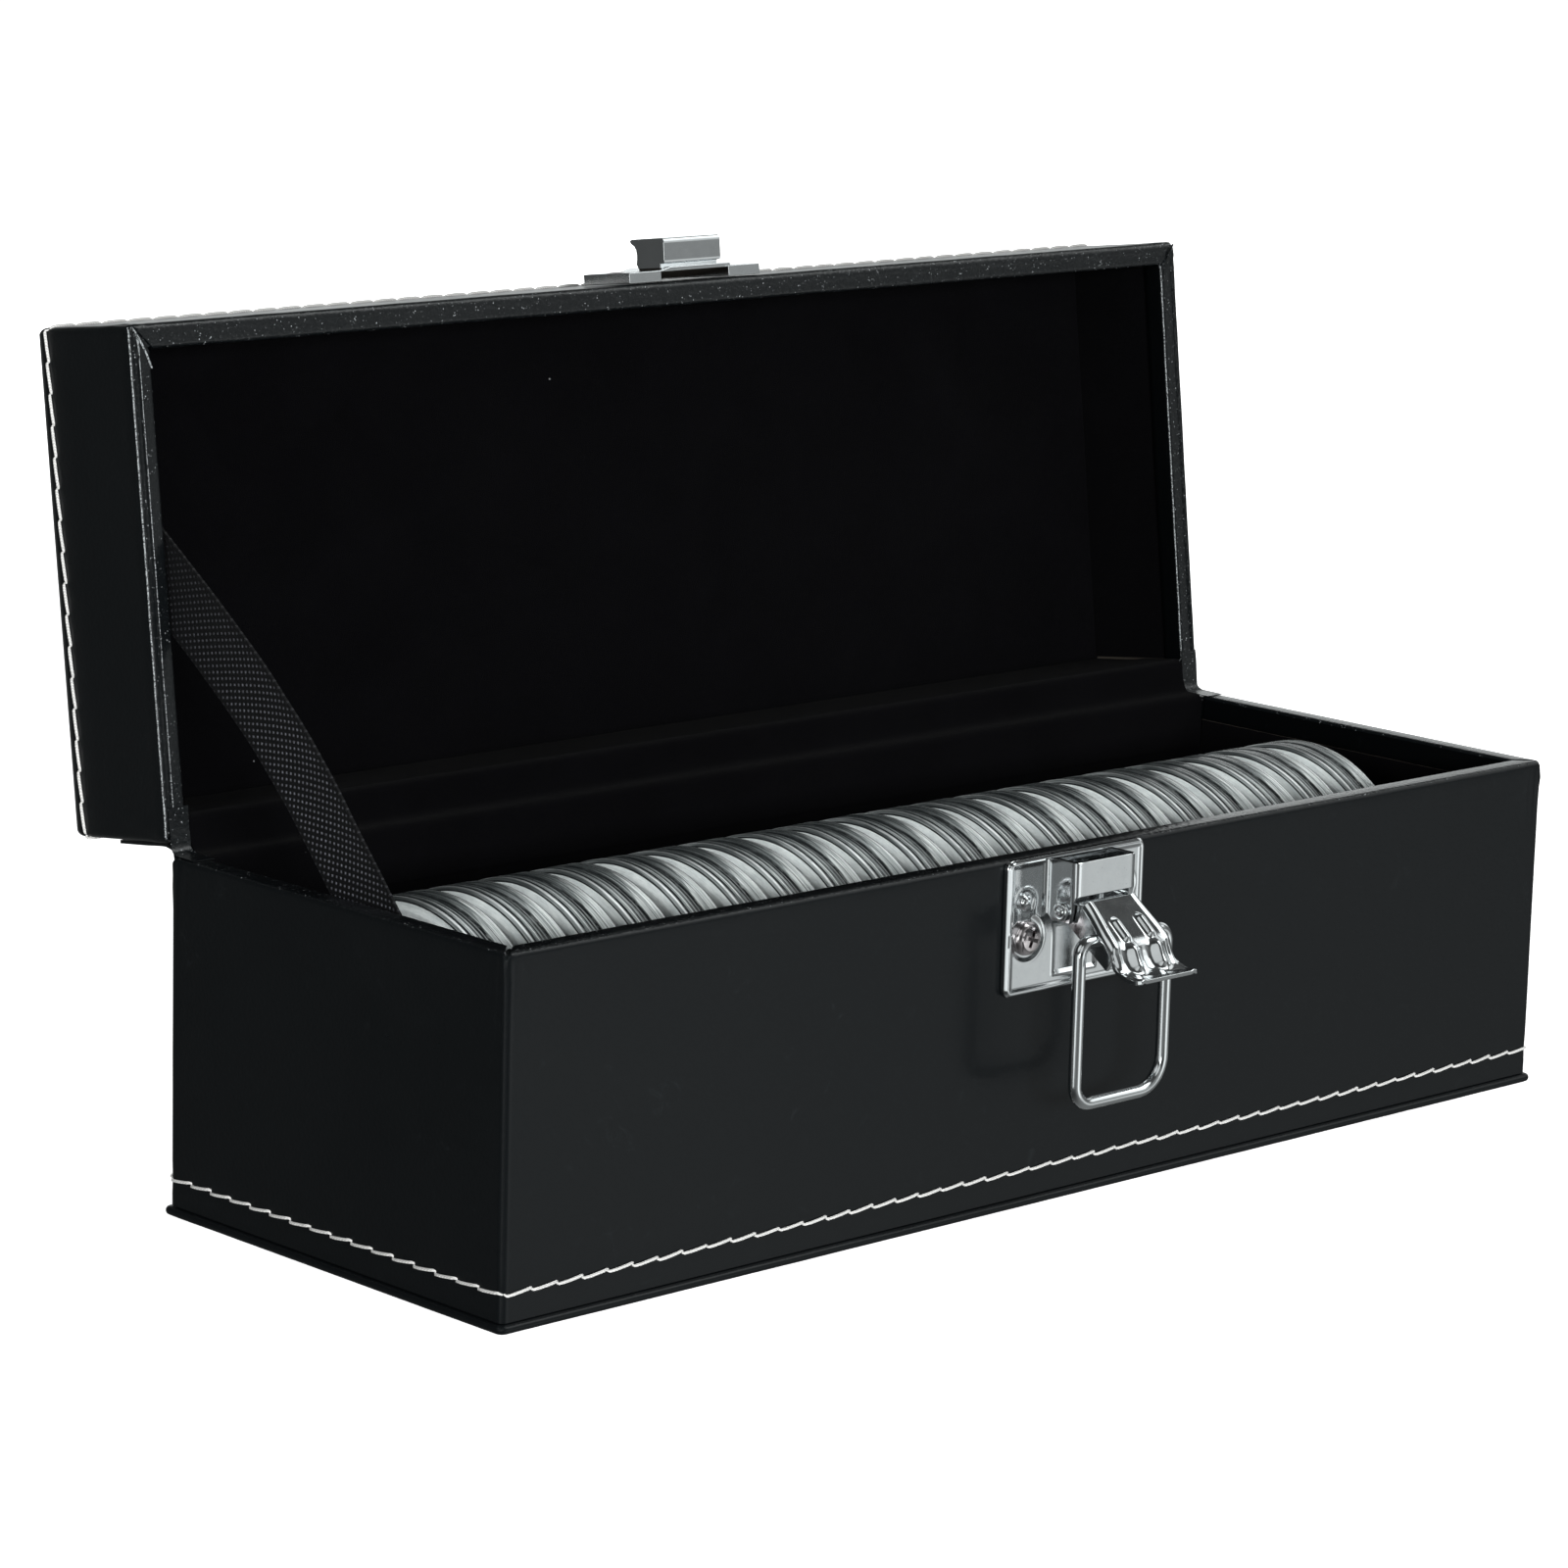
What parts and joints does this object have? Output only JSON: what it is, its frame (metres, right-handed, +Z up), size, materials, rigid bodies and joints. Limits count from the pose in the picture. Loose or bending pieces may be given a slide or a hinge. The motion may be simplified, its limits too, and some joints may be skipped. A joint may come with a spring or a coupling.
{
  "type": "hinged capsule case",
  "caption": "Long hinged box in stitched black leather with a draw latch, a ribbon lid stay and a row of round clear capsules standing on edge.",
  "frame": {"origin": "middle of the underside of the foot panel", "axes": "+X along the row of capsules, -Y towards the latch, +Z up; the lid is at rest open"},
  "size_m": [0.2366, 0.1377, 0.1455],
  "materials": {
    "black_leather": "smooth, glossy, fine grain",
    "fibreboard": "raw board",
    "black_velvet": "flocked",
    "black_ribbon": "woven",
    "nickel": "bright nickel plate",
    "clear_plastic": "clear, polished"
  },
  "bodies": {
    "tray": {"foot_panel": "black_leather", "floor_board": "fibreboard", "tray_board_front": "fibreboard", "tray_board_back": "fibreboard", "tray_board_left": "fibreboard", "tray_board_right": "fibreboard", "tray_leather": "black_leather", "tray_lining_front": "black_velvet", "tray_lining_back": "black_velvet", "tray_lining_left": "black_velvet", "tray_lining_right": "black_velvet", "slotted_insert": "black_velvet", "hinge_leather": "black_leather", "hinge_lining": "black_velvet", "ribbon_stay": "black_ribbon", "latch_plate": "nickel", "latch_screw_left": "nickel", "latch_screw_right": "nickel", "latch_rivet_left": "nickel", "latch_rivet_right": "nickel", "latch_housing": "nickel", "lever_pin": "nickel"},
    "lid": {"lid_board_front": "fibreboard", "lid_board_back": "fibreboard", "lid_board_left": "fibreboard", "lid_board_right": "fibreboard", "lid_top_board": "fibreboard", "lid_leather": "black_leather", "lid_lining_front": "black_velvet", "lid_lining_back": "black_velvet", "lid_lining_left": "black_velvet", "lid_lining_right": "black_velvet", "lid_lining_top": "black_velvet", "lid_catch": "nickel", "catch_screw_left": "nickel", "catch_screw_right": "nickel"},
    "lever": {"latch_lever": "nickel"},
    "bail": {"bail_wire": "nickel"},
    "capsule_body_01": {"capsule_01": "clear_plastic"},
    "capsule_body_02": {"capsule_02": "clear_plastic"},
    "capsule_body_03": {"capsule_03": "clear_plastic"},
    "capsule_body_04": {"capsule_04": "clear_plastic"},
    "capsule_body_05": {"capsule_05": "clear_plastic"},
    "capsule_body_06": {"capsule_06": "clear_plastic"},
    "capsule_body_07": {"capsule_07": "clear_plastic"},
    "capsule_body_08": {"capsule_08": "clear_plastic"},
    "capsule_body_09": {"capsule_09": "clear_plastic"},
    "capsule_body_10": {"capsule_10": "clear_plastic"},
    "capsule_body_11": {"capsule_11": "clear_plastic"},
    "capsule_body_12": {"capsule_12": "clear_plastic"},
    "capsule_body_13": {"capsule_13": "clear_plastic"},
    "capsule_body_14": {"capsule_14": "clear_plastic"},
    "capsule_body_15": {"capsule_15": "clear_plastic"},
    "capsule_body_16": {"capsule_16": "clear_plastic"},
    "capsule_body_17": {"capsule_17": "clear_plastic"},
    "capsule_body_18": {"capsule_18": "clear_plastic"},
    "capsule_body_19": {"capsule_19": "clear_plastic"},
    "capsule_body_20": {"capsule_20": "clear_plastic"}
  },
  "joints": [
    {"name": "lid_hinge", "type": "hinge", "parent": "tray", "child": "lid", "pos_m": [0, 0.041, 0.058], "axis": [-1, 0, 0], "range_deg": [-97.3, 0], "deforming": ["hinge_leather", "hinge_lining", "ribbon_stay"]},
    {"name": "lever_turn", "type": "hinge", "parent": "tray", "child": "lever", "pos_m": [0, -0.0448, 0.0488], "axis": [-1, 0, 0], "range_deg": [-50, 0]},
    {"name": "bail_swing", "type": "hinge", "parent": "lever", "child": "bail", "pos_m": [0, -0.0517, 0.04536], "axis": [-1, 0, 0], "range_deg": [0, 234]},
    {"name": "capsule_lift_01", "type": "slide", "parent": "tray", "child": "capsule_body_01", "axis": [0, 0, 1], "range_m": [0, 0.056]},
    {"name": "capsule_lift_02", "type": "slide", "parent": "tray", "child": "capsule_body_02", "axis": [0, 0, 1], "range_m": [0, 0.056]},
    {"name": "capsule_lift_03", "type": "slide", "parent": "tray", "child": "capsule_body_03", "axis": [0, 0, 1], "range_m": [0, 0.056]},
    {"name": "capsule_lift_04", "type": "slide", "parent": "tray", "child": "capsule_body_04", "axis": [0, 0, 1], "range_m": [0, 0.056]},
    {"name": "capsule_lift_05", "type": "slide", "parent": "tray", "child": "capsule_body_05", "axis": [0, 0, 1], "range_m": [0, 0.056]},
    {"name": "capsule_lift_06", "type": "slide", "parent": "tray", "child": "capsule_body_06", "axis": [0, 0, 1], "range_m": [0, 0.056]},
    {"name": "capsule_lift_07", "type": "slide", "parent": "tray", "child": "capsule_body_07", "axis": [0, 0, 1], "range_m": [0, 0.056]},
    {"name": "capsule_lift_08", "type": "slide", "parent": "tray", "child": "capsule_body_08", "axis": [0, 0, 1], "range_m": [0, 0.056]},
    {"name": "capsule_lift_09", "type": "slide", "parent": "tray", "child": "capsule_body_09", "axis": [0, 0, 1], "range_m": [0, 0.056]},
    {"name": "capsule_lift_10", "type": "slide", "parent": "tray", "child": "capsule_body_10", "axis": [0, 0, 1], "range_m": [0, 0.056]},
    {"name": "capsule_lift_11", "type": "slide", "parent": "tray", "child": "capsule_body_11", "axis": [0, 0, 1], "range_m": [0, 0.056]},
    {"name": "capsule_lift_12", "type": "slide", "parent": "tray", "child": "capsule_body_12", "axis": [0, 0, 1], "range_m": [0, 0.056]},
    {"name": "capsule_lift_13", "type": "slide", "parent": "tray", "child": "capsule_body_13", "axis": [0, 0, 1], "range_m": [0, 0.056]},
    {"name": "capsule_lift_14", "type": "slide", "parent": "tray", "child": "capsule_body_14", "axis": [0, 0, 1], "range_m": [0, 0.056]},
    {"name": "capsule_lift_15", "type": "slide", "parent": "tray", "child": "capsule_body_15", "axis": [0, 0, 1], "range_m": [0, 0.056]},
    {"name": "capsule_lift_16", "type": "slide", "parent": "tray", "child": "capsule_body_16", "axis": [0, 0, 1], "range_m": [0, 0.056]},
    {"name": "capsule_lift_17", "type": "slide", "parent": "tray", "child": "capsule_body_17", "axis": [0, 0, 1], "range_m": [0, 0.056]},
    {"name": "capsule_lift_18", "type": "slide", "parent": "tray", "child": "capsule_body_18", "axis": [0, 0, 1], "range_m": [0, 0.056]},
    {"name": "capsule_lift_19", "type": "slide", "parent": "tray", "child": "capsule_body_19", "axis": [0, 0, 1], "range_m": [0, 0.056]},
    {"name": "capsule_lift_20", "type": "slide", "parent": "tray", "child": "capsule_body_20", "axis": [0, 0, 1], "range_m": [0, 0.056]}
  ],
  "couplings": [
    {"joint": "bail_swing", "follows": "lever_turn", "ratio": -4.679}
  ]
}
